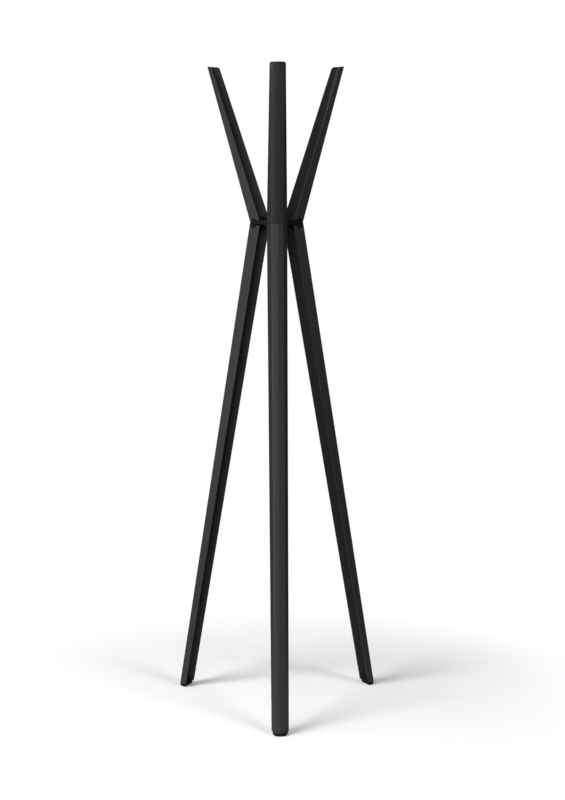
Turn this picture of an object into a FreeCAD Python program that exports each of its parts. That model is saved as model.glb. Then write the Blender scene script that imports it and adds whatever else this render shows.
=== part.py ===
import FreeCAD, Part
import math
import os
import re

import Sketcher

# Free-standing coat rack: three open channel members around a central hub.
# Each member is a short arm that leans out upwards and a long leg that leans
# out downwards. They meet at a level seam, on blocks bolted through the hub.
#
# Frame: +Z up, the floor at Z = 0, the front member towards -Y, the origin at
# the middle of the bounding box. Every body is drawn in its own member's frame:
# X runs outwards from the rack's axis, Y along the member's width, Z up.

SIZES = (
    # whole rack: heights above the floor, reaches outwards from the axis
    ("rack_height", 1750.0),
    ("joint_height", 1333.0),
    ("tip_reach", 209.8),
    ("joint_reach", 78.3),
    ("foot_reach", 318.4),
    # channel section: a shallow front face, two edge radii, two flaring walls
    ("face_radius", 30.0),
    ("edge_radius", 5.0),
    ("edge_spread", 12.6),
    ("wall_flare", 16.2),
    ("wall_thick", 3.0),
    # channel depth from the front face to the mouth
    ("tip_depth", 20.0),
    ("joint_depth", 42.1),
    ("foot_depth", 26.4),
    # channel ends
    ("top_slope", 3.5),
    ("top_corner_radius", 10.0),
    ("seam_gap", 0.8),
    ("seam_corner_radius", 2.0),
    ("foot_lift", 9.3),
    # hub: drum, two side spokes with heads, front tongue (levels from the seam)
    ("drum_gap", 3.2),
    ("drum_rise", 14.3),
    ("drum_drop", 17.5),
    ("spoke_rise", 6.1),
    ("spoke_drop", 5.9),
    ("head_height", 27.2),
    ("head_width", 20.7),
    ("head_behind", 18.3),
    ("head_below", 3.1),
    ("head_clearance", 0.15),
    ("drum_edge", 1.5),
    # end blocks in the channels, clamped above and below the hub
    ("arm_block_height", 8.0),
    ("leg_block_height", 8.6),
    ("block_setback", 0.5),
    ("block_clearance", 0.1),
    ("seat_gap", 0.1),
    ("spoke_relief", 2.9),
    ("cradle_web", 5.3),
    # M5 socket screws with plain washers
    ("screw_inset", 8.4),
    ("screw_length", 30.0),
    ("screw_size", 5.0),
    ("screw_head_width", 8.5),
    ("screw_head_height", 5.0),
    ("socket_width", 4.0),
    ("socket_depth", 2.5),
    ("screw_edge", 0.4),
    ("screw_clearance", 0.5),
    ("thread_clearance", 0.05),
    ("tip_clearance", 1.3),
    ("washer_width", 10.0),
    ("washer_thick", 1.0),
    # foot glides
    ("glide_margin", 1.0),
    ("glide_setback", 1.5),
    ("glide_corner", 4.0),
    ("glide_bevel", 3.2),
    ("spigot_height", 12.0),
    ("spigot_setback", 7.0),
    ("spigot_clearance", 0.1),
)

# Where each member points, in degrees from +X.
FRONT, RIGHT, LEFT = -90.0, 30.0, 150.0
MEMBERS = (("front", FRONT), ("right", RIGHT), ("left", LEFT))
MEMBER_TURN = 120.0

# How far blanks, cutting outlines and the outlines of rounded heads run past the
# shape that they leave.
BLANK = 12
CUT = 40
MARGIN = 1

# A length too small to matter, and the direction that a sketch faces.
TINY = 1e-6
UPWARDS = FreeCAD.Vector(0, 0, 1)

# Values worked out from the sheet, as expressions in its aliases.
ARM_LEAN = "(tip_reach - joint_reach)"
ARM_RISE = "(rack_height - joint_height)"
LEG_LEAN = "(joint_reach - foot_reach)"
JOINT_MOUTH = "(joint_reach - joint_depth)"
TIP_MOUTH = "(tip_reach - tip_depth)"
ARM_MOUTH_LEAN = "((tip_reach - tip_depth - joint_reach + joint_depth) / (rack_height - joint_height))"
LEG_MOUTH_LEAN = "((foot_reach - foot_depth - joint_reach + joint_depth) / joint_height)"
SEAT_TOP = "(joint_height + spoke_rise + seat_gap)"
SEAT_BOTTOM = "(joint_height - spoke_drop - spoke_relief - seat_gap)"
SCREW_SEAT = "(%s - leg_block_height)" % SEAT_BOTTOM
SCREW_TIP = "(%s - washer_thick + screw_length)" % SCREW_SEAT
SCREW_REACH = "(%s + screw_inset)" % JOINT_MOUTH
HEAD_REACH = "(joint_reach - head_behind)"
HEAD_LEVEL = "(joint_height - head_below)"
FOOT_FACE = "(foot_reach + (joint_reach - foot_reach) * foot_lift / joint_height)"
EDGE_CENTRE_BACK = "(face_radius - sqrt((face_radius - edge_radius)^2 - edge_spread^2))"
TOP_DROP = ("(tip_depth * tan(top_slope * 1 deg) / (1 - %s * tan(top_slope * 1 deg)))" % ARM_MOUTH_LEAN)
WALL_INSET = "(wall_thick + block_clearance)"


def bind(text):
    """The expression with the sheet's name put before each alias."""
    names = "|".join(alias for alias, number in SIZES)
    return re.sub(r"\b(%s)\b" % names, r"Sizes.\1", text)


def make_sheet(doc):
    """The spreadsheet that holds every driving size."""
    sheet = doc.addObject("Spreadsheet::Sheet", "Sizes")
    for row, (alias, number) in enumerate(SIZES, 1):
        sheet.set("A%d" % row, alias)
        sheet.set("B%d" % row, str(number))
        sheet.setAlias("B%d" % row, alias)
    doc.recompute()
    return sheet


def value(sheet, text):
    """The number that an expression in the sheet's aliases has now."""
    result = sheet.evalExpression(bind(text))
    return float(getattr(result, "Value", result))


class SubPart:
    """A PartDesign body drawn in a member's frame, and its helpers."""

    def __init__(self, doc, sheet, label, azimuth):
        self.doc = doc
        self.sheet = sheet
        self.body = doc.addObject("PartDesign::Body", label)
        self.body.Label = label
        self.body.Placement.Rotation = FreeCAD.Rotation(UPWARDS, azimuth)
        back = "(0.5 * (%s - %s) + edge_spread * sin(60 deg) + edge_radius)" % (FOOT_FACE, EDGE_CENTRE_BACK)
        self.body.setExpression("Placement.Base.y", bind("(%s - %s) / 2" % (FOOT_FACE, back)))

    def number(self, text):
        return value(self.sheet, text)

    def sketch(self, name, role, level=None, turn=None):
        """A sketch on one of the body's own origin planes."""
        plane = [o for o in self.body.Origin.OriginFeatures if o.Role == role][0]
        sketch = self.body.newObject("Sketcher::SketchObject", self.body.Label + "_" + name)
        sketch.AttachmentSupport = [(plane, "")]
        sketch.MapMode = "FlatFace"
        if turn is not None:
            sketch.AttachmentOffset = FreeCAD.Placement(
                FreeCAD.Vector(0, 0, 0), FreeCAD.Rotation(UPWARDS, turn))
        if level is not None:
            sketch.setExpression("AttachmentOffset.Base.z", bind(level))
        return sketch

    def feature(self, kind, name, sketch):
        """A sketch-based feature, with its sketch hidden inside it."""
        feature = self.body.newObject("PartDesign::" + kind, self.body.Label + "_" + name)
        feature.Profile = sketch
        return feature

    def pad(self, name, sketch, length, lean=None, rise=None):
        """A pad of the given length, leaning along the member when asked."""
        pad = self.feature("Pad", name, sketch)
        pad.setExpression("Length", bind(length))
        if lean is not None:
            pad.UseCustomVector = True
            pad.AlongSketchNormal = True
            pad.setExpression("Direction.x", bind("%s / %s" % (lean, rise)))
            pad.Direction = FreeCAD.Vector(self.number("%s / %s" % (lean, rise)), 0, 1)
        return pad

    def loft(self, name, first, second):
        """A straight-sided loft between two sketches."""
        self.doc.recompute()
        loft = self.feature("AdditiveLoft", name, first)
        loft.Sections = [second]
        loft.Ruled = True

    def cut_through(self, name, sketch):
        """A pocket through everything on both sides of the sketch."""
        self.doc.recompute()
        before = self.body.Shape.Volume
        pocket = self.feature("Pocket", name, sketch)
        pocket.Type = "ThroughAll"
        pocket.SideType = "Symmetric"
        self.doc.recompute()
        if not self.body.Shape.Volume < before:
            raise RuntimeError(pocket.Label + " cuts nothing")
        return pocket

    def bore_up(self, name, sketch, depth):
        """A blind pocket that goes up from the sketch."""
        self.doc.recompute()
        before = self.body.Shape.Volume
        pocket = self.feature("Pocket", name, sketch)
        pocket.Reversed = True
        pocket.setExpression("Length", bind(depth))
        self.doc.recompute()
        if not self.body.Shape.Volume < before:
            raise RuntimeError(pocket.Label + " cuts nothing")
        return pocket

    def repeat(self, name, originals, count, turn):
        """Repeat features around the body's Z axis."""
        self.doc.recompute()
        axis = [o for o in self.body.Origin.OriginFeatures if o.Role == "Z_Axis"][0]
        pattern = self.body.newObject("PartDesign::PolarPattern", self.body.Label + "_" + name)
        pattern.Originals = list(originals)
        pattern.Axis = (axis, [""])
        pattern.Angle = turn
        pattern.Occurrences = count
        self.body.Tip = pattern
        self.doc.recompute()

    def soften(self, kind, name, size, chosen):
        """A fillet or chamfer on the edges that a test picks."""
        self.doc.recompute()
        base = self.body.Tip
        names = ["Edge%d" % i for i, edge in enumerate(base.Shape.Edges, 1) if chosen(edge)]
        if not names:
            raise RuntimeError(name + " finds no edge")
        feature = self.body.newObject("PartDesign::" + kind, self.body.Label + "_" + name)
        feature.Base = (base, names)
        feature.setExpression("Radius" if kind == "Fillet" else "Size", bind(size))
        self.doc.recompute()

    def level(self, text):
        """A height as level_of gives it."""
        return round(self.number(text), 2) + 0.0


class Outline:
    """A closed outline in a sketch, with every size tied to an expression."""

    def __init__(self, part, sketch):
        self.part = part
        self.sketch = sketch

    def size(self, kind, items, text):
        """A dimension that follows an expression."""
        index = self.sketch.addConstraint(Sketcher.Constraint(kind, *items, self.part.number(text)))
        self.sketch.setExpression("Constraints[%d]" % index, bind(text))

    def join(self, *pieces):
        """Make each piece run smoothly into the next."""
        for before, after in zip(pieces, pieces[1:]):
            self.sketch.addConstraint(Sketcher.Constraint("Tangent", before, 2, after, 1))

    def line(self, start, stop):
        """A straight piece between two points."""
        return self.sketch.addGeometry(Part.LineSegment(start, stop))

    def arc(self, across, up, radius, start, stop):
        """A round piece about a centre, between two angles."""
        circle = Part.Circle(FreeCAD.Vector(across, up, 0), UPWARDS, radius)
        return self.sketch.addGeometry(Part.ArcOfCircle(circle, start, stop))

    def place(self, geometry, point, across, up):
        """Tie one point of the sketch to two expressions."""
        for kind, text in (("DistanceX", across), ("DistanceY", up)):
            if abs(self.part.number(text)) < TINY:
                other = "Vertical" if kind == "DistanceX" else "Horizontal"
                self.sketch.addConstraint(Sketcher.Constraint(other, -1, 1, geometry, point))
            else:
                self.size(kind, (-1, 1, geometry, point), text)

    def polygon(self, corners):
        """Corners are (across, up) or (across, up, radius) expressions."""
        number = self.part.number
        spots = [FreeCAD.Vector(number(corner[0]), number(corner[1]), 0) for corner in corners]
        count = len(corners)
        ends = []
        for i, corner in enumerate(corners):
            back = (spots[i - 1] - spots[i]).normalize()
            ahead = (spots[(i + 1) % count] - spots[i]).normalize()
            trim = 0.0
            if len(corner) == 3:
                trim = number(corner[2]) / math.tan(back.getAngle(ahead) / 2)
            ends.append((spots[i] + back * trim, spots[i] + ahead * trim, back, ahead))
        lines = [self.line(ends[i][1], ends[(i + 1) % count][0]) for i in range(count)]
        for i, corner in enumerate(corners):
            before, after = lines[i - 1], lines[i]
            if len(corner) == 2:
                self.sketch.addConstraint(Sketcher.Constraint("Coincident", before, 2, after, 1))
                self.place(after, 1, corner[0], corner[1])
            else:
                self.round_corner(before, after, corner, spots[i], ends[i])

    def round_corner(self, before, after, corner, spot, end):
        """An arc between two lines that meet at a placed point."""
        arrive, leave, back, ahead = end
        radius = self.part.number(corner[2])
        bisector = (back + ahead).normalize()
        centre = spot + bisector * (radius / math.sin(back.getAngle(ahead) / 2))
        arc = self.sketch.addGeometry(Part.Arc(arrive, centre - bisector * radius, leave))
        start_first = (self.sketch.Geometry[arc].StartPoint - arrive).Length < TINY
        near, far = (1, 2) if start_first else (2, 1)
        self.sketch.addConstraint(Sketcher.Constraint("Tangent", before, 2, arc, near))
        self.sketch.addConstraint(Sketcher.Constraint("Tangent", after, 1, arc, far))
        self.size("Radius", (arc,), corner[2])
        point = self.sketch.addGeometry(Part.Point(spot), True)
        self.place(point, 1, corner[0], corner[1])
        self.sketch.addConstraint(Sketcher.Constraint("PointOnObject", point, 1, before))
        self.sketch.addConstraint(Sketcher.Constraint("PointOnObject", point, 1, after))

    def section(self, face, depth, inset, corner=None):
        """The channel's section: inset shrinks it all round, corner rounds it at the mouth."""
        number = self.part.number
        face_r, edge_r = "(face_radius - %s)" % inset, "(edge_radius - %s)" % inset
        flare = math.radians(number("wall_flare"))
        centre, mouth = number("%s - face_radius" % face), number("%s - %s" % (face, depth))
        edge = FreeCAD.Vector(number("%s - %s" % (face, EDGE_CENTRE_BACK)), number("edge_spread"), 0)
        turn = math.atan2(edge.y, edge.x - centre)
        tangent = edge + FreeCAD.Vector(math.sin(flare), math.cos(flare), 0) * number(edge_r)
        wide = tangent.y + (tangent.x - mouth) * math.tan(flare)
        radius = number(corner) if corner else 0.0
        trim = radius * math.tan((math.pi / 2 + flare) / 2)
        wall_end = FreeCAD.Vector(mouth + trim * math.cos(flare), wide - trim * math.sin(flare), 0)
        back_end = FreeCAD.Vector(mouth, wide - trim, 0)

        front = self.arc(centre, 0, number(face_r), -turn, turn)
        upper = self.arc(edge.x, edge.y, number(edge_r), turn, math.pi / 2 - flare)
        wall_a = self.line(tangent, wall_end)
        back = self.line(back_end, mirrored(back_end))
        wall_b = self.line(mirrored(wall_end), mirrored(tangent))
        lower = self.arc(edge.x, -edge.y, number(edge_r), flare - math.pi / 2, -turn)
        self.join(wall_b, lower, front, upper, wall_a)
        if corner:
            upper_back = self.arc(mouth + radius, back_end.y, radius, math.pi / 2 - flare, math.pi)
            lower_back = self.arc(mouth + radius, -back_end.y, radius, math.pi, 1.5 * math.pi + flare)
            self.join(wall_a, upper_back, back, lower_back, wall_b)
            self.size("Radius", (upper_back,), corner)
        else:
            for first, second in ((wall_a, back), (back, wall_b)):
                self.sketch.addConstraint(Sketcher.Constraint("Coincident", first, 2, second, 1))
        for first, first_end, second, second_end in ((back, 1, back, 2), (upper, 3, lower, 3)):
            self.sketch.addConstraint(
                Sketcher.Constraint("Symmetric", first, first_end, second, second_end, -1))
        self.sketch.addConstraint(Sketcher.Constraint("PointOnObject", front, 3, -1))
        self.size("DistanceX", (-1, 1, front, 3), "%s - face_radius" % face)
        self.size("DistanceY", (-1, 1, upper, 3), "edge_spread")
        self.size("DistanceX", (-1, 1, back, 1), "%s - %s" % (face, depth))
        self.size("Radius", (front,), face_r)
        self.size("Radius", (upper,), edge_r)
        index = self.sketch.addConstraint(Sketcher.Constraint("Angle", -1, 1, wall_b, 1, flare))
        self.sketch.setExpression("Constraints[%d]" % index, bind("wall_flare * 1 deg"))

    def circle(self, across, up, radius):
        """A circle with its centre and radius tied to expressions."""
        centre = FreeCAD.Vector(self.part.number(across), self.part.number(up), 0)
        index = self.sketch.addGeometry(Part.Circle(centre, UPWARDS, self.part.number(radius)))
        self.place(index, 3, across, up)
        self.size("Radius", (index,), radius)

    def obround(self, across, up, width, height):
        """An upright slot shape: two half circles joined by straight sides."""
        number = self.part.number
        x, z, radius = number(across), number(up), number(width) / 2
        rise = "((%s) - (%s)) / 2" % (height, width)
        top, bottom = z + number(rise), z - number(rise)
        upper = self.arc(x, top, radius, 0, math.pi)
        lower = self.arc(x, bottom, radius, math.pi, 2 * math.pi)
        left = self.line(FreeCAD.Vector(x - radius, top, 0), FreeCAD.Vector(x - radius, bottom, 0))
        right = self.line(FreeCAD.Vector(x + radius, bottom, 0), FreeCAD.Vector(x + radius, top, 0))
        self.join(upper, left, lower, right, upper)
        self.sketch.addConstraint(Sketcher.Constraint("Equal", upper, lower))
        self.place(upper, 3, across, "%s + %s" % (up, rise))
        self.sketch.addConstraint(Sketcher.Constraint("Vertical", upper, 3, lower, 3))
        self.size("DistanceY", (lower, 3, upper, 3), "(%s) - (%s)" % (height, width))
        self.size("Radius", (upper,), "(%s) / 2" % width)


def mirrored(point):
    """A point's reflection in the sketch's across axis."""
    return FreeCAD.Vector(point.x, -point.y, 0)


def mouth_at(level, lean, offset="0"):
    """How far out the mouth is at a level above or below the seam."""
    return "(%s + %s * (%s) + %s)" % (JOINT_MOUTH, lean, level, offset)


def wall_width(reach, inset="0"):
    """Half the channel's width at the seam, at a distance from the axis."""
    centre = "(joint_reach - %s)" % EDGE_CENTRE_BACK
    return ("(edge_spread + (edge_radius - (%s)) / cos(wall_flare * 1 deg)"
            " + (%s - (%s)) * tan(wall_flare * 1 deg))" % (inset, centre, reach))


def level_frame(outline, left, right, low, high):
    """A rectangle round the kept outline, so that a pocket trims all that is outside it."""
    outline.polygon(((left, low), (right, low), (right, high), (left, high)))


def trim(part, corners, low, high, reach):
    """Keep only what lies inside an outline drawn in the member's side view."""
    outline = Outline(part, part.sketch("side_view", "XZ_Plane"))
    level_frame(outline, "%s - %d" % (JOINT_MOUTH, 2 * CUT), "%s + %d" % (reach, 2 * CUT), low, high)
    outline.polygon(corners)
    part.cut_through("trim", outline.sketch)


def cut_keyhole(part):
    """Notch the walls for the head of a spoke, and slot them for its bar."""
    outline = Outline(part, part.sketch("head_outline", "XZ_Plane"))
    outline.obround(HEAD_REACH, HEAD_LEVEL,
                    "(head_width + 2 * head_clearance)", "(head_height + 2 * head_clearance)")
    part.cut_through("head_notch", outline.sketch)


def cut_spoke_slot(part):
    """Open both walls from the mouth to the head notch."""
    outline = Outline(part, part.sketch("slot_outline", "XZ_Plane"))
    inner = "%s - %d" % (JOINT_MOUTH, CUT)
    outline.polygon(((inner, SEAT_BOTTOM), (HEAD_REACH, SEAT_BOTTOM),
                     (HEAD_REACH, SEAT_TOP), (inner, SEAT_TOP)))
    part.cut_through("spoke_slot", outline.sketch)


def pad_channel(part, level, face, length, lean, rise):
    """The closed tube that a channel is cut from, leaning along the member."""
    outline = Outline(part, part.sketch("section", "XY_Plane", level))
    outline.section(face, "(joint_depth + %d)" % (2 * BLANK), "0")
    outline.section(face, "(joint_depth + %d)" % BLANK, "wall_thick")
    part.pad("tube", outline.sketch, length, lean, rise)


def make_arm(doc, sheet, side, azimuth, keyed):
    """Upper channel: from the seam out and up to the sloping top."""
    part = SubPart(doc, sheet, side + "_arm", azimuth)
    pad_channel(part, "joint_height", "joint_reach", "%s + %d" % (ARM_RISE, CUT), ARM_LEAN, ARM_RISE)
    seam = "joint_height + seam_gap / 2"
    trim(part, (
        (mouth_at("seam_gap / 2", ARM_MOUTH_LEAN), seam, "seam_corner_radius"),
        ("joint_reach + %d" % CUT, seam),
        ("tip_reach + %d" % CUT, "rack_height + %d * tan(top_slope * 1 deg)" % CUT),
        ("%s - %s * %s" % (TIP_MOUTH, ARM_MOUTH_LEAN, TOP_DROP), "rack_height - %s" % TOP_DROP,
         "top_corner_radius"),
    ), "joint_height - %d" % CUT, "rack_height + %d" % (2 * CUT), "tip_reach")
    if keyed:
        cut_keyhole(part)
        cut_spoke_slot(part)
    return part


def make_leg(doc, sheet, side, azimuth, keyed):
    """Lower channel: from the seam out and down to just above the floor."""
    part = SubPart(doc, sheet, side + "_leg", azimuth)
    pad_channel(part, None, "foot_reach", "joint_height + %d" % CUT, LEG_LEAN, "joint_height")
    seam = "joint_height - seam_gap / 2"
    trim(part, (
        (mouth_at("seam_gap / 2", LEG_MOUTH_LEAN), seam, "seam_corner_radius"),
        (mouth_at("joint_height - foot_lift", LEG_MOUTH_LEAN), "foot_lift"),
        ("foot_reach + %d" % CUT, "foot_lift"),
        ("joint_reach + %d" % CUT, seam),
    ), "-%d" % CUT, "joint_height + %d" % (2 * CUT), "foot_reach")
    if keyed:
        cut_keyhole(part)
        cut_spoke_slot(part)
    return part


def make_arm_block(doc, sheet, side, azimuth, keyed):
    """Black end block in the foot of an arm, tapped for the joint screw."""
    part = SubPart(doc, sheet, side + "_arm_block", azimuth)
    outline = Outline(part, part.sketch("section", "XY_Plane", "joint_height"))
    outline.section("joint_reach", "(joint_depth + %d)" % BLANK, WALL_INSET)
    part.pad("blank", outline.sketch, "%d" % CUT, ARM_LEAN, ARM_RISE)
    low = "spoke_rise + seat_gap"
    high = "spoke_rise + seat_gap + arm_block_height"
    trim(part, (
        (mouth_at(low, ARM_MOUTH_LEAN, "block_setback"), SEAT_TOP),
        ("joint_reach + %d" % CUT, SEAT_TOP),
        ("joint_reach + %d" % CUT, "joint_height + " + high),
        (mouth_at(high, ARM_MOUTH_LEAN, "block_setback"), "joint_height + " + high),
    ), "joint_height - %d" % CUT, "joint_height + %d" % (2 * CUT), "joint_reach")
    if keyed:
        cut_keyhole(part)
    hole = Outline(part, part.sketch("tapped_circle", "XY_Plane", SEAT_TOP))
    hole.circle(SCREW_REACH, "0", "(screw_size / 2 + thread_clearance)")
    part.bore_up("tapped_hole", hole.sketch, "(%s + tip_clearance - %s)" % (SCREW_TIP, SEAT_TOP))
    return part


def make_leg_block(doc, sheet, side, azimuth, keyed):
    """Black end block in the head of a leg: the screw's seat, and a cradle for the spoke's head."""
    part = SubPart(doc, sheet, side + "_leg_block", azimuth)
    outline = Outline(part, part.sketch("section", "XY_Plane", "joint_height - %d" % CUT))
    outline.section("(joint_reach - %s * %d / joint_height)" % (LEG_LEAN, CUT),
                    "(joint_depth + %d)" % BLANK, WALL_INSET)
    part.pad("blank", outline.sketch, "%d" % CUT, LEG_LEAN, "joint_height")
    top = "spoke_drop + spoke_relief + seat_gap"
    step = "(%s + washer_width / 2 + screw_clearance)" % SCREW_REACH
    floor = "(%s - head_height / 2 - cradle_web)" % HEAD_LEVEL
    trim(part, (
        (mouth_at(top, LEG_MOUTH_LEAN, "block_setback"), SEAT_BOTTOM),
        (mouth_at(top + " + leg_block_height", LEG_MOUTH_LEAN, "block_setback"), SCREW_SEAT),
        (step, SCREW_SEAT),
        (step, floor),
        ("joint_reach + %d" % CUT, floor),
        ("joint_reach + %d" % CUT, SEAT_BOTTOM),
    ), "joint_height - %d" % (2 * CUT), "joint_height + %d" % CUT, "joint_reach")
    if keyed:
        cut_keyhole(part)
    hole = Outline(part, part.sketch("clearance_circle", "XY_Plane", "joint_height"))
    hole.circle(SCREW_REACH, "0", "((screw_size + screw_clearance) / 2)")
    part.cut_through("clearance_hole", hole.sketch)
    return part


def make_screw(doc, sheet, side, azimuth):
    """Socket screw, driven up from inside the leg."""
    part = SubPart(doc, sheet, side + "_joint_screw", azimuth)
    under_head = "(%s - washer_thick)" % SCREW_SEAT
    end = "(%s - screw_head_height)" % under_head
    head = Outline(part, part.sketch("head_circle", "XY_Plane", end))
    head.circle(SCREW_REACH, "0", "(screw_head_width / 2)")
    part.pad("head", head.sketch, "screw_head_height")
    shank = Outline(part, part.sketch("shank_circle", "XY_Plane", under_head))
    shank.circle(SCREW_REACH, "0", "(screw_size / 2)")
    part.pad("shank", shank.sketch, "screw_length")
    part.soften("Chamfer", "head_edge", "screw_edge", lambda edge: level_of(edge) == part.level(end))
    socket = Outline(part, part.sketch("socket_hexagon", "XY_Plane", end))
    corners = []
    for i in range(6):
        angle = "(%d deg)" % (60 * i)
        corners.append(("%s + socket_width / sqrt(3) * cos%s" % (SCREW_REACH, angle),
                        "socket_width / sqrt(3) * sin%s" % angle))
    socket.polygon(corners)
    part.bore_up("socket", socket.sketch, "socket_depth")
    return part


def make_washer(doc, sheet, side, azimuth):
    """Plain washer between the screw's head and the leg's block."""
    part = SubPart(doc, sheet, side + "_washer", azimuth)
    ring = Outline(part, part.sketch("ring", "XY_Plane", "(%s - washer_thick)" % SCREW_SEAT))
    ring.circle(SCREW_REACH, "0", "(washer_width / 2)")
    ring.circle(SCREW_REACH, "0", "((screw_size + screw_clearance) / 2)")
    part.pad("disc", ring.sketch, "washer_thick")
    return part


def make_glide(doc, sheet, side, azimuth):
    """Black foot plug: a bevelled shoe under the leg, and a spigot inside it."""
    part = SubPart(doc, sheet, side + "_glide", azimuth)
    sole = Outline(part, part.sketch("sole_outline", "XY_Plane"))
    sole.section("foot_reach", "(foot_depth - glide_setback - glide_bevel)",
                 "(glide_margin + glide_bevel)", "(glide_corner - glide_bevel)")
    shoe = Outline(part, part.sketch("shoe_outline", "XY_Plane", "glide_bevel"))
    shoe.section("(foot_reach + %s * glide_bevel / joint_height)" % LEG_LEAN,
                 "(foot_depth - glide_setback)", "glide_margin", "glide_corner")
    part.loft("bevel", sole.sketch, shoe.sketch)
    part.pad("shoe", shoe.sketch, "foot_lift - glide_bevel", LEG_LEAN, "joint_height")
    spigot = Outline(part, part.sketch("spigot_outline", "XY_Plane", "foot_lift"))
    spigot.section(FOOT_FACE, "(foot_depth - spigot_setback)", "(wall_thick + spigot_clearance)")
    part.pad("spigot", spigot.sketch, "spigot_height", LEG_LEAN, "joint_height")
    return part


def make_hub(doc, sheet):
    """Drum with two side spokes that end in heads, and a plain tongue to the front."""
    part = SubPart(doc, sheet, "hub", RIGHT)
    near = "(%s - head_width / 2 - %d)" % (HEAD_REACH, MARGIN)
    far = "(%s + head_width / 2 + %d)" % (HEAD_REACH, MARGIN)
    wedge = Outline(part, part.sketch("head_plan", "XY_Plane", "(%s - head_height / 2)" % HEAD_LEVEL))
    wedge.polygon(((near, wall_width(near)), (far, wall_width(far)),
                   (far, "-" + wall_width(far)), (near, "-" + wall_width(near))))
    head = part.pad("head", wedge.sketch, "head_height")
    side_view = Outline(part, part.sketch("head_side", "XZ_Plane"))
    level_frame(side_view, "(%s - %d)" % (near, MARGIN), "(%s + %d)" % (far, MARGIN),
                "(%s - head_height)" % HEAD_LEVEL, "(%s + head_height)" % HEAD_LEVEL)
    side_view.obround(HEAD_REACH, HEAD_LEVEL, "head_width", "head_height")
    rounding = part.cut_through("head_rounding", side_view.sketch)

    bar_plan = Outline(part, part.sketch("bar_plan", "XY_Plane", "(joint_height - spoke_drop)"))
    bar_plan.polygon(spoke_plan("0"))
    bar = part.pad("bar", bar_plan.sketch, "(spoke_rise + spoke_drop)")
    drum_plan = Outline(part, part.sketch("drum_circle", "XY_Plane", "(joint_height - drum_drop)"))
    drum_plan.circle("0", "0", "(%s - drum_gap)" % JOINT_MOUTH)
    part.pad("drum", drum_plan.sketch, "(drum_rise + drum_drop)")
    part.repeat("spokes", (head, rounding, bar), 2, MEMBER_TURN)

    tongue_level = "(%s + seat_gap)" % SEAT_BOTTOM
    tongue = Outline(part, part.sketch("tongue_plan", "XY_Plane", tongue_level, -MEMBER_TURN))
    tongue.polygon(spoke_plan(WALL_INSET))
    part.pad("tongue", tongue.sketch, "(joint_height + spoke_rise - %s)" % tongue_level)
    hole = Outline(part, part.sketch("screw_circle", "XY_Plane", "joint_height"))
    hole.circle(SCREW_REACH, "0", "((screw_size + screw_clearance) / 2)")
    drilled = part.cut_through("screw_hole", hole.sketch)
    part.repeat("screw_holes", (drilled,), 3, 3 * MEMBER_TURN)
    rims = (part.level("joint_height + drum_rise"), part.level("joint_height - drum_drop"))
    part.soften("Fillet", "drum_rims", "drum_edge", lambda edge: level_of(edge) in rims)
    return part


def spoke_plan(inset):
    """Plan of a spoke: straight from the drum to the mouth, then flush between the walls."""
    root, tip = wall_width(JOINT_MOUTH, inset), wall_width(HEAD_REACH, inset)
    return (("0", root), (JOINT_MOUTH, root), (HEAD_REACH, tip),
            (HEAD_REACH, "-" + tip), (JOINT_MOUTH, "-" + root), ("0", "-" + root))


def level_of(edge):
    """The height of a level edge to a hundredth, or None for an edge that climbs."""
    box = edge.BoundBox
    return round(box.ZMin, 2) + 0.0 if box.ZLength < 0.01 else None


def export(parts):
    """Check every object and sub-part, then write one STEP file for each."""
    for part in parts:
        for item in part.body.Group + [part.body]:
            if {"Invalid", "Error"} & set(item.State):
                raise RuntimeError(item.Label + " failed")
        shape = part.body.Shape
        if shape.isNull() or not shape.isValid() or len(shape.Solids) != 1:
            raise RuntimeError(part.body.Label + " is not one valid solid")
    os.makedirs("parts", exist_ok=True)
    for part in parts:
        part.body.Shape.exportStep("parts/%s.step" % part.body.Label)
        print("%-18s %10.1f mm3" % (part.body.Label, part.body.Shape.Volume))


def main():
    doc = FreeCAD.newDocument("coat_rack")
    sheet = make_sheet(doc)
    parts = [make_hub(doc, sheet)]
    for side, azimuth in MEMBERS:
        keyed = side != "front"
        for make in (make_arm, make_leg, make_arm_block, make_leg_block):
            parts.append(make(doc, sheet, side, azimuth, keyed))
        for make in (make_screw, make_washer, make_glide):
            parts.append(make(doc, sheet, side, azimuth))
    doc.recompute()
    export(parts)


main()
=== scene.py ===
"""Free-standing coat rack: finishes, rounded channels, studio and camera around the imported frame."""
import enum
import logging
import math
from dataclasses import dataclass, field

import bmesh
import bpy
from mathutils import Matrix, Vector


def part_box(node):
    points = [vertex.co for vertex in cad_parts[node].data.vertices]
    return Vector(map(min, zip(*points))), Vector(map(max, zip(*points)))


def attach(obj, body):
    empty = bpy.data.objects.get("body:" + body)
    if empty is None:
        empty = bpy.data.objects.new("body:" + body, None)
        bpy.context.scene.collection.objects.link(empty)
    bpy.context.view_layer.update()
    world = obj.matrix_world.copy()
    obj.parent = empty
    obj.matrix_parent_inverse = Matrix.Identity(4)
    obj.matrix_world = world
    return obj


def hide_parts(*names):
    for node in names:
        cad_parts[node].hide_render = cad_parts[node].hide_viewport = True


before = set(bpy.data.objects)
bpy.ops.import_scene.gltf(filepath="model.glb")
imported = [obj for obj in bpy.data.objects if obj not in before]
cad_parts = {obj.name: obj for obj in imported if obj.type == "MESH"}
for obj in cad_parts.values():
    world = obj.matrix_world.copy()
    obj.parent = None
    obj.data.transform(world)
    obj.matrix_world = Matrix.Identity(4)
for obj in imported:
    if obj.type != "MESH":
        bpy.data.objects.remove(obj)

LOG = logging.getLogger("coat_rack")
BODY = "root"
MM = 0.001
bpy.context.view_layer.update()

Colour = tuple[float, float, float]
Point2 = tuple[float, float]
Point3 = tuple[float, float, float]

WHITE = (1.0, 1.0, 1.0, 1.0)
DUST_COLOUR = (0.16, 0.155, 0.145)

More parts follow.
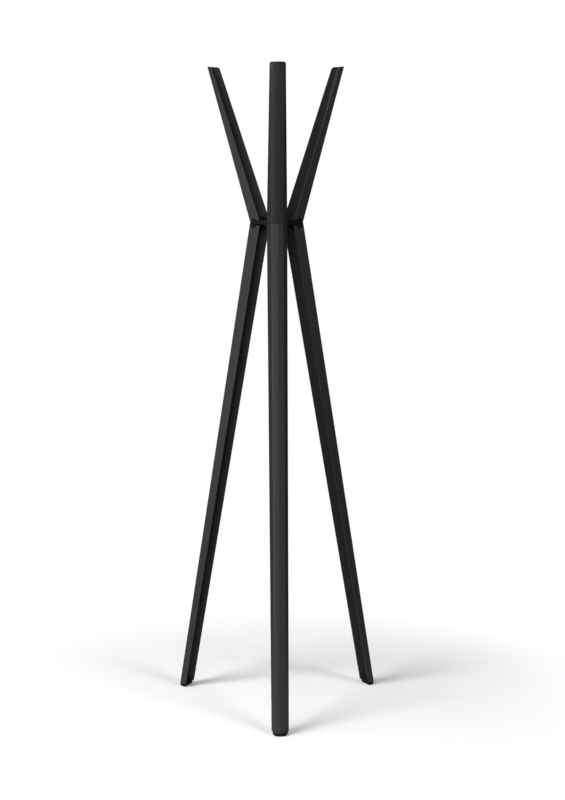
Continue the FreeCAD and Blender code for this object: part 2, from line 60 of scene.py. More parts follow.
# Sockets of a Mix node set to colours.
MIX_UNDER, MIX_OVER, MIX_RESULT = 6, 7, 2


class Side(enum.Enum):
    """Where each member points, in degrees from +X, seen from above."""

    FRONT = -90.0
    RIGHT = 30.0
    LEFT = 150.0

    @property
    def label(self) -> str:
        """The word that starts the names of this member's nodes."""
        return self.name.lower()

    @property
    def keyed(self) -> bool:
        """Whether the hub's heads show through this member's walls."""
        return self is not Side.FRONT


class Slot(enum.Enum):
    """The record's material slots."""

    CHANNEL = "channel_coat"
    HUB = "hub"
    BLOCK = "block"
    GLIDE = "glide"
    SCREW = "screw"
    WASHER = "washer"


class Reach(enum.Enum):
    """Which pieces a light falls on, by how the floor is linked to it."""

    EVERYTHING = "NONE"
    RACK_ONLY = "EXCLUDE"
    FLOOR_ONLY = "INCLUDE"


# ---------------------------------------------------------------- node groups


class GroupLibrary:
    """Shader node groups that the finishes share, each built once."""

    broad_share: float = 0.12
    bevel_rays: int = 4

    def __init__(self) -> None:
        """Start with no groups."""
        self.made: dict[str, bpy.types.NodeTree] = {}

    def open(self, name: str, inputs: dict[str, float], outputs: list[str]) -> bpy.types.NodeTree:
        """Make an empty group with float sockets.

        Args:
            name: the group's name.
            inputs: the default of each input.
            outputs: the names of the outputs.

        Returns:
            The new node tree, with its input and output nodes in place.
        """
        tree = bpy.data.node_groups.new(name, "ShaderNodeTree")
        for label, default in inputs.items():
            socket = tree.interface.new_socket(name=label, in_out="INPUT", socket_type="NodeSocketFloat")
            socket.default_value = default
        for label in outputs:
            tree.interface.new_socket(name=label, in_out="OUTPUT", socket_type="NodeSocketFloat")
        tree.nodes.new("NodeGroupInput").name = "in"
        tree.nodes.new("NodeGroupOutput").name = "out"
        self.made[name] = tree
        return tree

    def grain(self) -> bpy.types.NodeTree:
        """Surface texture of a coat or moulding: fine pimples over a slow undulation."""
        if "surface_grain" in self.made:
            return self.made["surface_grain"]
        tree = self.open("surface_grain", {"Scale": 900.0, "Undulation": 0.35}, ["Height", "Speckle"])
        nodes, links = tree.nodes, tree.links
        place = nodes.new("ShaderNodeTexCoord")
        fine = nodes.new("ShaderNodeTexNoise")
        fine.inputs["Detail"].default_value = 3.0
        fine.inputs["Roughness"].default_value = 0.62
        broad_scale = math_node(tree, "MULTIPLY", self.broad_share)
        broad = nodes.new("ShaderNodeTexNoise")
        broad.inputs["Detail"].default_value = 1.5
        weight = math_node(tree, "MULTIPLY")
        total = math_node(tree, "ADD")
        links.new(nodes["in"].outputs["Scale"], fine.inputs["Scale"])
        links.new(nodes["in"].outputs["Scale"], broad_scale.inputs[0])
        links.new(broad_scale.outputs[0], broad.inputs["Scale"])
        for noise in (fine, broad):
            links.new(place.outputs["Object"], noise.inputs["Vector"])
        links.new(broad.outputs["Fac"], weight.inputs[0])
        links.new(nodes["in"].outputs["Undulation"], weight.inputs[1])
        links.new(fine.outputs["Fac"], total.inputs[0])
        links.new(weight.outputs[0], total.inputs[1])
        speckle = range_node(tree, 0.35, 0.65)
        links.new(fine.outputs["Fac"], speckle.inputs["Value"])
        links.new(total.outputs[0], nodes["out"].inputs["Height"])
        links.new(speckle.outputs["Result"], nodes["out"].inputs["Speckle"])
        return tree

    def painted_edge_highlight(self) -> bpy.types.NodeTree:
        """Mask of rounded-over edges, broken up by noise, where a painted highlight lightens the colour
        as if the edges caught the light.
        """
        if "painted_edge_highlight" in self.made:
            return self.made["painted_edge_highlight"]
        tree = self.open("painted_edge_highlight", {"Radius": 0.0008, "Scale": 60.0}, ["Mask"])
        nodes, links = tree.nodes, tree.links
        bevel = nodes.new("ShaderNodeBevel")
        bevel.samples = self.bevel_rays
        shape = nodes.new("ShaderNodeNewGeometry")
        dot = nodes.new("ShaderNodeVectorMath")
        dot.operation = "DOT_PRODUCT"
        edge = range_node(tree, 0.995, 0.85)
        place = nodes.new("ShaderNodeTexCoord")
        patch = nodes.new("ShaderNodeTexNoise")
        patch.inputs["Detail"].default_value = 4.0
        gate = range_node(tree, 0.38, 0.62)
        both = math_node(tree, "MULTIPLY")
        links.new(nodes["in"].outputs["Radius"], bevel.inputs["Radius"])
        links.new(bevel.outputs["Normal"], dot.inputs[0])
        links.new(shape.outputs["Normal"], dot.inputs[1])
        links.new(dot.outputs["Value"], edge.inputs["Value"])
        links.new(place.outputs["Object"], patch.inputs["Vector"])
        links.new(nodes["in"].outputs["Scale"], patch.inputs["Scale"])
        links.new(patch.outputs["Fac"], gate.inputs["Value"])
        links.new(edge.outputs["Result"], both.inputs[0])
        links.new(gate.outputs["Result"], both.inputs[1])
        links.new(both.outputs[0], nodes["out"].inputs["Mask"])
        return tree

    def dust(self) -> bpy.types.NodeTree:
        """Mask of the little dust that settles on faces that look up."""
        if "settled_dust" in self.made:
            return self.made["settled_dust"]
        tree = self.open("settled_dust", {"Scale": 45.0, "Amount": 0.5}, ["Mask"])
        nodes, links = tree.nodes, tree.links
        shape = nodes.new("ShaderNodeNewGeometry")
        parts = nodes.new("ShaderNodeSeparateXYZ")
        upward = range_node(tree, 0.55, 1.0)
        place = nodes.new("ShaderNodeTexCoord")
        patch = nodes.new("ShaderNodeTexNoise")
        patch.inputs["Detail"].default_value = 6.0
        both = math_node(tree, "MULTIPLY")
        scaled = math_node(tree, "MULTIPLY")
        links.new(shape.outputs["Normal"], parts.inputs[0])
        links.new(parts.outputs["Z"], upward.inputs["Value"])
        links.new(place.outputs["Object"], patch.inputs["Vector"])
        links.new(nodes["in"].outputs["Scale"], patch.inputs["Scale"])
        links.new(upward.outputs["Result"], both.inputs[0])
        links.new(patch.outputs["Fac"], both.inputs[1])
        links.new(both.outputs[0], scaled.inputs[0])
        links.new(nodes["in"].outputs["Amount"], scaled.inputs[1])
        links.new(scaled.outputs[0], nodes["out"].inputs["Mask"])
        return tree


def math_node(tree: bpy.types.NodeTree, operation: str, second: float = 0.5) -> bpy.types.Node:
    """Add a Math node.

    Args:
        tree: the node tree it goes in.
        operation: the Math node's operation.
        second: the value of its second input where nothing is linked.

    Returns:
        The new node.
    """
    node = tree.nodes.new("ShaderNodeMath")
    node.operation = operation
    node.inputs[1].default_value = second
    return node


def range_node(tree: bpy.types.NodeTree, low: float, high: float) -> bpy.types.Node:
    """Add a Map Range node.

    Args:
        tree: the node tree it goes in.
        low: the value that becomes 0.
        high: the value that becomes 1.

    Returns:
        The new node.
    """
    node = tree.nodes.new("ShaderNodeMapRange")
    node.inputs["From Min"].default_value = low
    node.inputs["From Max"].default_value = high
    return node


# ------------------------------------------------------------------- finishes


@dataclass(frozen=True)
class Finish:
    """A coat, moulding or bare metal: one Principled BSDF fed by the shared groups.

    Colours are linear. Lengths are in metres, and scales are per metre.
    """

    slot: Slot
    base: Colour
    light: Colour
    # Colour of the painted highlight laid along the edges, and the radius that finds them.
    edge_highlight: Colour
    roughness: tuple[float, float]
    metallic: float = 0.0
    specular: float = 0.5
    grain_scale: float = 900.0
    undulation: float = 0.35
    bump: float = 0.00004
    highlight_radius: float = 0.0008
    dust: float = 0.3

    def build(self, groups: GroupLibrary) -> bpy.types.Material:
        """Make the material.

        Args:
            groups: the shared node groups.

        Returns:
            The new material.
        """
        material = bpy.data.materials.new(self.slot.value + "_finish")
        material.use_nodes = True
        tree = material.node_tree
        shader = tree.nodes["Principled BSDF"]
        shader.inputs["Metallic"].default_value = self.metallic
        shader.inputs["Specular IOR Level"].default_value = self.specular
        grain = place_group(tree, groups.grain(), Scale=self.grain_scale, Undulation=self.undulation)
        edge_highlight = place_group(tree, groups.painted_edge_highlight(), Radius=self.highlight_radius)
        dust = place_group(tree, groups.dust(), Amount=self.dust)
        speckled = mix_colours(tree, grain.outputs["Speckle"], self.base, self.light)
        # Painted highlight: a lighter colour laid over the edges, standing in for light that the rounded
        # edges catch.
        highlighted = mix_colours(tree, edge_highlight.outputs["Mask"], speckled, self.edge_highlight)
        dusty = mix_colours(tree, dust.outputs["Mask"], highlighted, DUST_COLOUR)
        tree.links.new(dusty, shader.inputs["Base Color"])
        rough = tree.nodes.new("ShaderNodeMapRange")
        rough.inputs["To Min"].default_value = self.roughness[0]
        rough.inputs["To Max"].default_value = self.roughness[1]
        tree.links.new(grain.outputs["Speckle"], rough.inputs["Value"])
        tree.links.new(rough.outputs["Result"], shader.inputs["Roughness"])
        bump = tree.nodes.new("ShaderNodeBump")
        bump.inputs["Distance"].default_value = self.bump
        tree.links.new(grain.outputs["Height"], bump.inputs["Height"])
        tree.links.new(bump.outputs["Normal"], shader.inputs["Normal"])
        return material


def place_group(tree: bpy.types.NodeTree, group: bpy.types.NodeTree, **values: float) -> bpy.types.Node:
    """Put a shared group in a material.

    Args:
        tree: the material's node tree.
        group: the shared group.
        values: this material's own values for the group's inputs.

    Returns:
        The group's node.
    """
    node = tree.nodes.new("ShaderNodeGroup")
    node.node_tree = group
    for label, value in values.items():
        node.inputs[label].default_value = value
    return node


def mix_colours(
    tree: bpy.types.NodeTree,
    mask: bpy.types.NodeSocket,
    under: bpy.types.NodeSocket | Colour,
    over: Colour,
) -> bpy.types.NodeSocket:
    """Lay one colour over another through a mask.

    Args:
        tree: the material's node tree.
        mask: where the upper colour shows.
        under: the lower colour, or the socket that gives it.
        over: the upper colour.

    Returns:
        The socket with the mixed colour.
    """
    mix = tree.nodes.new("ShaderNodeMix")
    mix.data_type = "RGBA"
    tree.links.new(mask, mix.inputs["Factor"])
    if isinstance(under, bpy.types.NodeSocket):
        tree.links.new(under, mix.inputs[MIX_UNDER])
    else:
        mix.inputs[MIX_UNDER].default_value = (*under, 1.0)
    mix.inputs[MIX_OVER].default_value = (*over, 1.0)
    return mix.outputs[MIX_RESULT]


# The third colour of each finish is its painted edge highlight, not wear.
FINISHES = (
    Finish(Slot.CHANNEL, base=(0.0275, 0.0300, 0.0290), light=(0.0355, 0.0384, 0.0371),
           edge_highlight=(0.060, 0.064, 0.062), roughness=(0.46, 0.58), specular=0.28),
    Finish(Slot.HUB, base=(0.0042, 0.0046, 0.0054), light=(0.0066, 0.0072, 0.0082),
           edge_highlight=(0.020, 0.021, 0.023), roughness=(0.50, 0.62), specular=0.10, grain_scale=1300.0,
           bump=0.00003, dust=0.1),
    Finish(Slot.BLOCK, base=(0.0062, 0.0066, 0.0076), light=(0.0092, 0.0098, 0.0110),
           edge_highlight=(0.018, 0.018, 0.019), roughness=(0.50, 0.64), specular=0.14, grain_scale=1700.0,
           bump=0.00002),
    Finish(Slot.GLIDE, base=(0.0052, 0.0054, 0.0056), light=(0.0084, 0.0086, 0.0089),
           edge_highlight=(0.026, 0.026, 0.027), roughness=(0.48, 0.62), specular=0.10, grain_scale=1100.0,
           bump=0.00003),
    Finish(Slot.SCREW, base=(0.010, 0.010, 0.011), light=(0.020, 0.019, 0.020),
           edge_highlight=(0.060, 0.058, 0.056), roughness=(0.38, 0.52), metallic=0.85, grain_scale=2600.0,
           bump=0.00001, dust=0.05),
    Finish(Slot.WASHER, base=(0.012, 0.012, 0.013), light=(0.022, 0.022, 0.023),
           edge_highlight=(0.070, 0.068, 0.066), roughness=(0.36, 0.50), metallic=0.85, grain_scale=2200.0,
           bump=0.00001, dust=0.05),
)


# --------------------------------------------------------------- sub-assemblies


@dataclass
class Section:
    """The channel's section: a shallow face, two edge radii and two walls that flare to the mouth."""

    face_radius: float = 30.0 * MM
    edge_radius: float = 5.0 * MM
    edge_spread: float = 12.6 * MM
    flare: float = math.radians(16.2)
    wall: float = 3.0 * MM
    face_steps: int = 18
    edge_steps: int = 9

    @property
    def centre_back(self) -> float:
        """How far the edge arcs' centres lie behind the face."""
        reach = math.sqrt((self.face_radius - self.edge_radius) ** 2 - self.edge_spread ** 2)
        return self.face_radius - reach

    def half_width(self, behind: float, inset: float) -> float:
        """Half the width at a distance behind the face, shrunk by an inset.

        Args:
            behind: distance from the face towards the mouth.
            inset: how far the outline is offset inwards.

        Returns:
            The half width there, in metres.
        """
        along_wall = (behind - self.centre_back) * math.tan(self.flare)
        return self.edge_spread + (self.edge_radius - inset) / math.cos(self.flare) + along_wall

    def outline(self, inset: float) -> list[Point2]:
        """The round part of the outline, from one wall's start round the face to the other's.

        Args:
            inset: how far the outline is offset inwards.

        Returns:
            Points as (distance behind the face, across), from +across to -across.
        """
        turn = math.asin(self.edge_spread / (self.face_radius - self.edge_radius))
        start = math.pi / 2 - self.flare
        radius, face = self.edge_radius - inset, self.face_radius - inset
        upper = []
        for step in range(self.edge_steps):
            angle = start + (turn - start) * step / self.edge_steps
            upper.append((self.centre_back - radius * math.cos(angle),
                          self.edge_spread + radius * math.sin(angle)))
        for step in range(self.face_steps):
            angle = turn * (1 - step / self.face_steps)
            upper.append((self.face_radius - face * math.cos(angle), face * math.sin(angle)))
        lower = [(behind, -across) for behind, across in reversed(upper)]
        return upper + [(inset, 0.0)] + lower


@dataclass
class Line:
    """A straight line in a member's side view: reach from the axis at a height."""

    low_reach: float
    low: float
    high_reach: float
    high: float

    @property
    def lean(self) -> float:
        """Reach gained for each metre of height."""
        return (self.high_reach - self.low_reach) / (self.high - self.low)

    def at(self, height: float) -> float:
        """The reach at a height."""
        return self.low_reach + self.lean * (height - self.low)


@dataclass
class RackSizes:
    """Heights above the floor and reaches from the rack's axis, in metres."""

    rack_height: float = 1750.0 * MM
    joint_height: float = 1333.0 * MM
    tip_reach: float = 209.8 * MM
    joint_reach: float = 78.3 * MM
    foot_reach: float = 318.4 * MM
    tip_depth: float = 20.0 * MM
    joint_depth: float = 42.1 * MM
    foot_depth: float = 26.4 * MM
    top_slope: float = math.radians(3.5)
    top_corner: float = 10.0 * MM
    seam_gap: float = 0.8 * MM
    seam_corner: float = 2.0 * MM
    foot_lift: float = 9.3 * MM

    def arm_lines(self) -> tuple[Line, Line]:
        """The arm's face line and mouth line."""
        face = Line(self.joint_reach, self.joint_height, self.tip_reach, self.rack_height)
        mouth = Line(self.joint_reach - self.joint_depth, self.joint_height,
                     self.tip_reach - self.tip_depth, self.rack_height)
        return face, mouth

    def leg_lines(self) -> tuple[Line, Line]:
        """The leg's face line and mouth line."""
        face = Line(self.foot_reach, 0.0, self.joint_reach, self.joint_height)
        mouth = Line(self.foot_reach - self.foot_depth, 0.0,
                     self.joint_reach - self.joint_depth, self.joint_height)
        return face, mouth


@dataclass
class Keyhole:
    """The notch and slot in a member's walls, which the hub's spoke and head pass through."""

    reach: float = 60.0 * MM
    below_seam: float = 3.1 * MM
    width: float = 21.0 * MM
    height: float = 27.5 * MM
    slot_rise: float = 6.2 * MM
    slot_drop: float = 8.9 * MM
    half_depth: float = 60.0 * MM
    arc_steps: int = 20

    def outline(self, seam: float) -> list[Point2]:
        """The keyhole's outline in the member's side view.

        Args:
            seam: the seam's height.

        Returns:
            Points as (reach, height), clockwise from the slot's upper edge at the axis.
        """
        radius = self.width / 2
        rise = self.height / 2 - radius
        top, bottom = seam - self.below_seam + rise, seam - self.below_seam - rise
        enter = math.pi - math.asin((seam + self.slot_rise - top) / radius)
        leave = math.pi + math.asin((bottom - seam + self.slot_drop) / radius)
        points = [(0.0, seam + self.slot_rise)]
        for centre, first, last in ((top, enter, 0.0), (bottom, 0.0, leave - 2 * math.pi)):
            for step in range(self.arc_steps + 1):
                angle = first + (last - first) * step / self.arc_steps
                points.append((self.reach + radius * math.cos(angle), centre + radius * math.sin(angle)))
        points.append((0.0, seam - self.slot_drop))
        return points


@dataclass
class Member:
    """One side of the rack: an arm and a leg of folded channel, their blocks, fasteners and glide."""

    side: Side
    axis: Vector
    sizes: RackSizes = field(default_factory=RackSizes)
    section: Section = field(default_factory=Section)
    keyhole: Keyhole = field(default_factory=Keyhole)
    rings: int = 16
    edge_round: float = 0.45 * MM
    edge_steps: int = 3
    edge_angle: float = math.radians(38.0)
    corner_steps: int = 10

    @property
    def placement(self) -> Matrix:
        """From the member's own frame, X outwards, to the rack's frame."""
        return Matrix.Translation(self.axis) @ Matrix.Rotation(math.radians(self.side.value), 4, "Z")

    def ring(self, face: Line, mouth: Line, height: float, slope: float = 0.0) -> list[list[Vector]]:
        """The outer and inner outline of the channel where a plane cuts it.

        Args:
            face: the member's face line.
            mouth: the member's mouth line.
            height: the plane's height at the face line.
            slope: the plane's fall towards the mouth, as a tangent.

        Returns:
            Two lists of points in the member's frame, outer first, mouth to mouth.
        """
        loops = []
        reach = face.at(height)
        for inset in (0.0, self.section.wall):
            loop = []
            for behind, across in self.section.outline(inset):
                drop = slope * behind / (1.0 - slope * face.lean)
                loop.append(Vector((reach - behind - face.lean * drop, across, height - drop)))
            gap = reach - mouth.at(height)
            drop = slope * gap / (1.0 - slope * mouth.lean)
            level = height - drop
            edge = mouth.at(level)
            wide = self.section.half_width(face.at(level) - edge, inset)
            loop.insert(0, Vector((edge, wide, level)))
            loop.append(Vector((edge, -wide, level)))
            loops.append(loop)
        return loops

    def channel(self, name: str, lines: tuple[Line, Line], low: float, high: float,
                slope: float, corners: tuple[float, float]) -> bpy.types.Object:
        """Build one channel as a loft of rings.

        Args:
            name: the new piece's name.
            lines: the face line and the mouth line.
            low: height of the lower cut.
            high: height of the upper cut at the face.
            slope: the upper cut's fall towards the mouth, as a tangent.
            corners: radii of the mouth's lower and upper corners.

        Returns:
            The new object, in the rack's frame.
        """
        face, mouth = lines
        mesh = bmesh.new()
        grid = []
        for step in range(self.rings + 1):
            height = low + (high - low) * step / self.rings
            outer, inner = self.ring(face, mouth, height, slope if step == self.rings else 0.0)
            grid.append(([mesh.verts.new(p) for p in outer], [mesh.verts.new(p) for p in inner]))
        for (outer_a, inner_a), (outer_b, inner_b) in zip(grid, grid[1:]):
            for i in range(len(outer_a) - 1):
                mesh.faces.new((outer_a[i], outer_b[i], outer_b[i + 1], outer_a[i + 1]))
                mesh.faces.new((inner_a[i], inner_a[i + 1], inner_b[i + 1], inner_b[i]))
            for i in (0, -1):
                mesh.faces.new((outer_a[i], inner_a[i], inner_b[i], outer_b[i]))
        for outer, inner in (grid[0], grid[-1]):
            for i in range(len(outer) - 1):
                mesh.faces.new((outer[i], outer[i + 1], inner[i + 1], inner[i]))
        bmesh.ops.recalc_face_normals(mesh, faces=mesh.faces)
        for end, radius, lean, cut in ((grid[0], corners[0], mouth.lean, 0.0),
                                       (grid[-1], corners[1], -mouth.lean, slope)):
            if radius > 0.0:
                self.round_mouth(mesh, end, lean, cut, radius)
        data = bpy.data.meshes.new(name)
        mesh.to_mesh(data)
        mesh.free()
        piece = bpy.data.objects.new(name, data)
        bpy.context.scene.collection.objects.link(piece)
        return piece

    def round_mouth(self, mesh: bmesh.types.BMesh, end: tuple[list, list], lean: float,
                    slope: float, radius: float) -> None:
        """Round both corners where a channel's end cut meets its mouth.

        Args:
            mesh: the channel's mesh.
            end: the end ring's outer vertices and its inner ones.
            lean: reach gained along the mouth, going away from the cut.
            slope: the cut's slope, as a tangent.
            radius: the corner's radius.
        """
        along_mouth = Vector((lean, 1.0)).normalized()
        along_cut = Vector((1.0, -slope)).normalized()
        trim = radius / math.tan(along_mouth.angle(along_cut) / 2)
        outer, inner = end
        edges = [mesh.edges.get((outer[i], inner[i])) for i in (0, -1)]
        bmesh.ops.bevel(mesh, geom=edges, offset=trim, offset_type="OFFSET", segments=self.corner_steps,
                        profile=0.5, affect="EDGES", clamp_overlap=False)

    def cut_keyhole(self, piece: bpy.types.Object) -> None:
        """Cut the keyhole through both walls of a channel.

        Args:
            piece: the channel, still in the member's frame.
        """
        outline = self.keyhole.outline(self.sizes.joint_height)
        mesh = bmesh.new()
        ends = []
        for across in (-self.keyhole.half_depth, self.keyhole.half_depth):
            ends.append([mesh.verts.new((reach, across, height)) for reach, height in outline])
        near, far = ends
        mesh.faces.new(near)
        mesh.faces.new(reversed(far))
        for i in range(len(near)):
            j = (i + 1) % len(near)
            mesh.faces.new((near[i], far[i], far[j], near[j]))
        bmesh.ops.recalc_face_normals(mesh, faces=mesh.faces)
        data = bpy.data.meshes.new("keyhole_cutter")
        mesh.to_mesh(data)
        mesh.free()
        cutter = bpy.data.objects.new("keyhole_cutter", data)
        bpy.context.scene.collection.objects.link(cutter)
        cut = piece.modifiers.new("keyhole", "BOOLEAN")
        cut.operation = "DIFFERENCE"
        cut.solver = "EXACT"
        cut.object = cutter
        graph = bpy.context.evaluated_depsgraph_get()
        result = bpy.data.meshes.new_from_object(piece.evaluated_get(graph))
        piece.modifiers.clear()
        piece.data = result
        bpy.data.objects.remove(cutter)

    def finish_channel(self, piece: bpy.types.Object, material: bpy.types.Material, node: str) -> None:
        """Round the sheet's edges, move the channel to its place and dress it.

        Args:
            piece: the channel, still in the member's frame.
            material: its finish.
            node: the CAD node that it stands for.
        """
        if self.side.keyed:
            self.cut_keyhole(piece)
        piece.data.transform(self.placement)
        piece.data.shade_smooth()
        soften = piece.modifiers.new("rounded_edges", "BEVEL")
        soften.width = self.edge_round
        soften.segments = self.edge_steps
        soften.limit_method = "ANGLE"
        soften.angle_limit = self.edge_angle
        soften.harden_normals = True
        piece.data.materials.clear()
        piece.data.materials.append(material)
        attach(piece, BODY)
        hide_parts(node)
        LOG.info("%s: %d faces", piece.name, len(piece.data.polygons))

    def build(self, materials: dict[Slot, bpy.types.Material]) -> None:
        """Build the arm and the leg, and dress the member's CAD pieces.

        Args:
            materials: the finish of each slot.
        """
        sizes, label = self.sizes, self.side.label
        half_gap = sizes.seam_gap / 2
        arm = self.channel(label + "_arm_channel", sizes.arm_lines(), sizes.joint_height + half_gap,
                           sizes.rack_height, math.tan(sizes.top_slope),
                           (sizes.seam_corner, sizes.top_corner))
        self.finish_channel(arm, materials[Slot.CHANNEL], label + "_arm")
        leg = self.channel(label + "_leg_channel", sizes.leg_lines(), sizes.foot_lift,
                           sizes.joint_height - half_gap, 0.0, (0.0, sizes.seam_corner))
        self.finish_channel(leg, materials[Slot.CHANNEL], label + "_leg")
        for suffix, slot in (("arm_block", Slot.BLOCK), ("leg_block", Slot.BLOCK), ("glide", Slot.GLIDE),
                             ("joint_screw", Slot.SCREW), ("washer", Slot.WASHER)):
            dress(label + "_" + suffix, materials[slot])


@dataclass
class Hub:
    """The drum and spokes that hold the three members."""

    node: str = "hub"

    def build(self, materials: dict[Slot, bpy.types.Material]) -> None:
        """Dress the hub.

        Args:
            materials: the finish of each slot.
        """
        dress(self.node, materials[Slot.HUB])


def dress(node: str, material: bpy.types.Material) -> None:
    """Give a CAD node its finish.

    Args:
        node: the node's name.
        material: the finish.
    """
    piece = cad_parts[node]
    for slot in piece.material_slots:
        slot.material = material
    LOG.info("%s: dressed with %s", node, material.name)


def rack_axis() -> Vector:
    """The rack's axis at floor level: the middle of the three washers."""
    centres = []
    for side in Side:
        low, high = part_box(side.label + "_washer")
        centres.append((low + high) / 2)
    middle = sum(centres, Vector()) / len(centres)
    return Vector((middle.x, middle.y, 0.0))


# ---------------------------------------------------------------------- studio


@dataclass
class SoftBox:
    """A square area light that points at a place on the rack, by default its middle."""

    name: str
    place: Point3
    size: float
    power: float
    aim: Point3 = (0.0, 0.0, 0.9)
    reach: Reach = Reach.EVERYTHING

    def build(self, only: bpy.types.Collection | None = None) -> None:
        """Make the light.

        Args:
            only: the pieces that it lights, where it does not light everything.
        """
        data = bpy.data.lights.new(self.name, "AREA")
        data.shape = "SQUARE"
        data.size = self.size
        data.energy = self.power
        light = bpy.data.objects.new(self.name, data)
        light.location = self.place
        light.rotation_mode = "QUATERNION"
        light.visible_camera = False
        light.rotation_quaternion = (Vector(self.aim) - Vector(self.place)).to_track_quat("-Z", "Y")
        light.light_linking.receiver_collection = only
        bpy.context.scene.collection.objects.link(light)


@dataclass
class Studio:
    """Pale floor, white surround, soft lights and the camera."""

    axis: Vector
    floor_radius: float = 30.0
    fade_start: float = 0.38
    fade_end: float = 1.05
    world_strength: float = 0.06
    floor_lift: float = 0.02
    camera_distance: float = 4.8599
    camera_height: float = 1.5396
    camera_swing: float = math.radians(1.073)
    camera_pan: float = math.radians(0.169)
    camera_tilt: float = math.radians(8.09)
    camera_roll: float = math.radians(-0.129)
    sensor: float = 36.0
    lens: float = 80.8
    floor_sides: int = 96
    floor_seen: Colour = (0.93, 0.93, 0.935)
    floor_bounce: Colour = (0.34, 0.34, 0.342)
    boxes: tuple[SoftBox, ...] = (
        SoftBox("front_box", (-0.8, -4.6, 2.4), 2.0, 58.0),
        SoftBox("high_left_box", (-2.6, -2.0, 4.2), 1.4, 34.0, (0.0, 0.0, 1.2)),
        SoftBox("left_box", (-3.8, -1.4, 1.0), 1.6, 74.0),
        SoftBox("left_front_box", (-3.0, -3.0, 1.6), 1.4, 20.0),
        SoftBox("low_front_box", (-1.6, -4.4, 0.7), 1.6, 12.0),
        SoftBox("low_right_box", (3.4, -2.6, 0.9), 1.8, 32.0),
        SoftBox("right_box", (4.0, 0.5, 1.8), 2.0, 7.3),
        SoftBox("back_box", (-2.5, 3.2, 2.8), 2.0, 12.0),
        SoftBox("top_box", (0.0, 0.2, 4.5), 4.0, 10.0, (0.0, 0.0, 0.0)),
        SoftBox("far_box", (0.0, 4.4, 2.0), 1.8, 90.0, reach=Reach.RACK_ONLY),
        SoftBox("floor_left_box", (-4.0, -3.2, 6.4), 3.2, 372.0, (0.0, 0.0, 0.0), Reach.FLOOR_ONLY),
        SoftBox("floor_right_box", (4.2, -4.8, 6.0), 2.4, 214.0, (0.0, 0.0, 0.0), Reach.FLOOR_ONLY),
    )

    def build(self) -> None:
        """Make the floor, the surround, the lights and the camera."""
        floor = self.build_floor()
        self.build_world()
        linked = {reach: self.receivers(reach, floor) for reach in Reach}
        for box in self.boxes:
            box.build(linked[box.reach])
        self.build_camera()
        view = bpy.context.scene.view_settings
        view.view_transform = "Standard"
        view.look = "None"
        view.exposure = 0.0
        view.gamma = 1.0

    @staticmethod
    def receivers(reach: Reach, floor: bpy.types.Object) -> bpy.types.Collection | None:
        """Make the collection that limits a light to some of the pieces.

        Args:
            reach: which pieces the light falls on.
            floor: the studio's floor.

        Returns:
            The collection, or None where the light falls on everything.
        """
        if reach is Reach.EVERYTHING:
            return None
        chosen = bpy.data.collections.new(reach.name.lower())
        chosen.objects.link(floor)
        chosen.collection_objects[0].light_linking.link_state = reach.value
        return chosen

    def build_floor(self) -> bpy.types.Object:
        """Make the floor: pale near the rack, and white further out.

        Returns:
            The floor.
        """
        mesh = bmesh.new()
        bmesh.ops.create_circle(mesh, cap_ends=True, segments=self.floor_sides, radius=self.floor_radius)
        data = bpy.data.meshes.new("floor")
        mesh.to_mesh(data)
        mesh.free()
        floor = bpy.data.objects.new("floor", data)
        floor.location = self.axis
        bpy.context.scene.collection.objects.link(floor)
        material = bpy.data.materials.new("studio_floor")
        material.use_nodes = True
        tree = material.node_tree
        shader = tree.nodes["Principled BSDF"]
        shader.inputs["Roughness"].default_value = 0.55
        shader.inputs["Specular IOR Level"].default_value = 0.2
        place = tree.nodes.new("ShaderNodeTexCoord")
        length = tree.nodes.new("ShaderNodeVectorMath")
        length.operation = "LENGTH"
        fade = tree.nodes.new("ShaderNodeMapRange")
        fade.interpolation_type = "SMOOTHSTEP"
        fade.inputs["From Min"].default_value = self.fade_start
        fade.inputs["From Max"].default_value = self.fade_end
        seen = tree.nodes.new("ShaderNodeLightPath")
        lift = math_node(tree, "MULTIPLY", self.floor_lift)
        pale = mix_colours(tree, seen.outputs["Is Camera Ray"], self.floor_bounce, self.floor_seen)
        tree.links.new(pale, shader.inputs["Base Color"])
        glow = tree.nodes.new("ShaderNodeEmission")
        white = tree.nodes.new("ShaderNodeEmission")
        near = tree.nodes.new("ShaderNodeAddShader")
        mix = tree.nodes.new("ShaderNodeMixShader")
        out = tree.nodes["Material Output"]
        tree.links.new(place.outputs["Object"], length.inputs[0])
        tree.links.new(length.outputs["Value"], fade.inputs["Value"])
        tree.links.new(fade.outputs["Result"], mix.inputs["Fac"])
        tree.links.new(seen.outputs["Is Camera Ray"], lift.inputs[0])
        tree.links.new(lift.outputs[0], glow.inputs["Strength"])
        tree.links.new(seen.outputs["Is Camera Ray"], white.inputs["Strength"])
        tree.links.new(shader.outputs["BSDF"], near.inputs[0])
        tree.links.new(glow.outputs["Emission"], near.inputs[1])
        tree.links.new(near.outputs["Shader"], mix.inputs[1])
        tree.links.new(white.outputs["Emission"], mix.inputs[2])
        tree.links.new(mix.outputs["Shader"], out.inputs["Surface"])
        data.materials.append(material)
        return floor

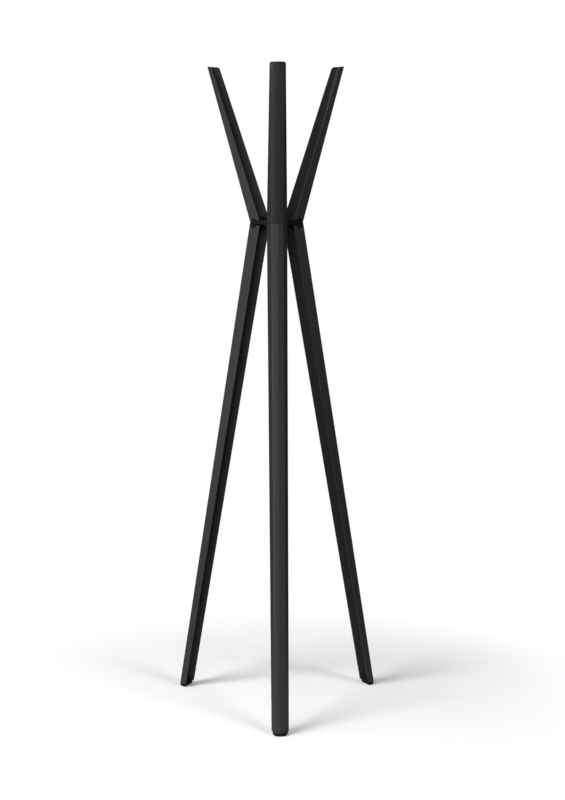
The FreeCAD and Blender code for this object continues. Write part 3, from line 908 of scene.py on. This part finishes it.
    def build_world(self) -> None:
        """Make the surround: white to look at, and a dim even light."""
        world = bpy.data.worlds.new("surround")
        bpy.context.scene.world = world
        world.use_nodes = True
        tree = world.node_tree
        tree.nodes.clear()
        out = tree.nodes.new("ShaderNodeOutputWorld")
        lit = tree.nodes.new("ShaderNodeBackground")
        lit.inputs["Strength"].default_value = self.world_strength
        lit.inputs["Color"].default_value = WHITE
        seen = tree.nodes.new("ShaderNodeBackground")
        seen.inputs["Color"].default_value = WHITE
        ray = tree.nodes.new("ShaderNodeLightPath")
        mix = tree.nodes.new("ShaderNodeMixShader")
        tree.links.new(ray.outputs["Is Camera Ray"], mix.inputs["Fac"])
        tree.links.new(lit.outputs["Background"], mix.inputs[1])
        tree.links.new(seen.outputs["Background"], mix.inputs[2])
        tree.links.new(mix.outputs["Shader"], out.inputs["Surface"])

    def build_camera(self) -> None:
        """Place the camera and make it the scene's."""
        data = bpy.data.cameras.new("camera")
        data.sensor_width = self.sensor
        data.lens = self.lens
        camera = bpy.data.objects.new("camera", data)
        swing, heading, tilt = self.camera_swing, self.camera_swing + self.camera_pan, self.camera_tilt
        place = self.axis + self.camera_distance * Vector((-math.sin(swing), -math.cos(swing), 0.0))
        place.z = self.camera_height
        level = Vector((math.sin(heading), math.cos(heading), 0.0))
        forward = level * math.cos(tilt) - Vector((0.0, 0.0, math.sin(tilt)))
        right = Vector((math.cos(heading), -math.sin(heading), 0.0))
        turn = Matrix((right, right.cross(forward), -forward)).transposed()
        camera.matrix_world = (Matrix.Translation(place) @ turn.to_4x4()
                               @ Matrix.Rotation(self.camera_roll, 4, "Z"))
        bpy.context.scene.collection.objects.link(camera)
        bpy.context.scene.camera = camera


def main() -> None:
    """Build the finishes, the rack and the studio."""
    logging.basicConfig(level=logging.INFO, format="%(message)s")
    groups = GroupLibrary()
    materials = {finish.slot: finish.build(groups) for finish in FINISHES}
    axis = rack_axis()
    Hub().build(materials)
    for side in Side:
        Member(side, axis).build(materials)
    Studio(axis).build()


if __name__ == "__main__":
    main()
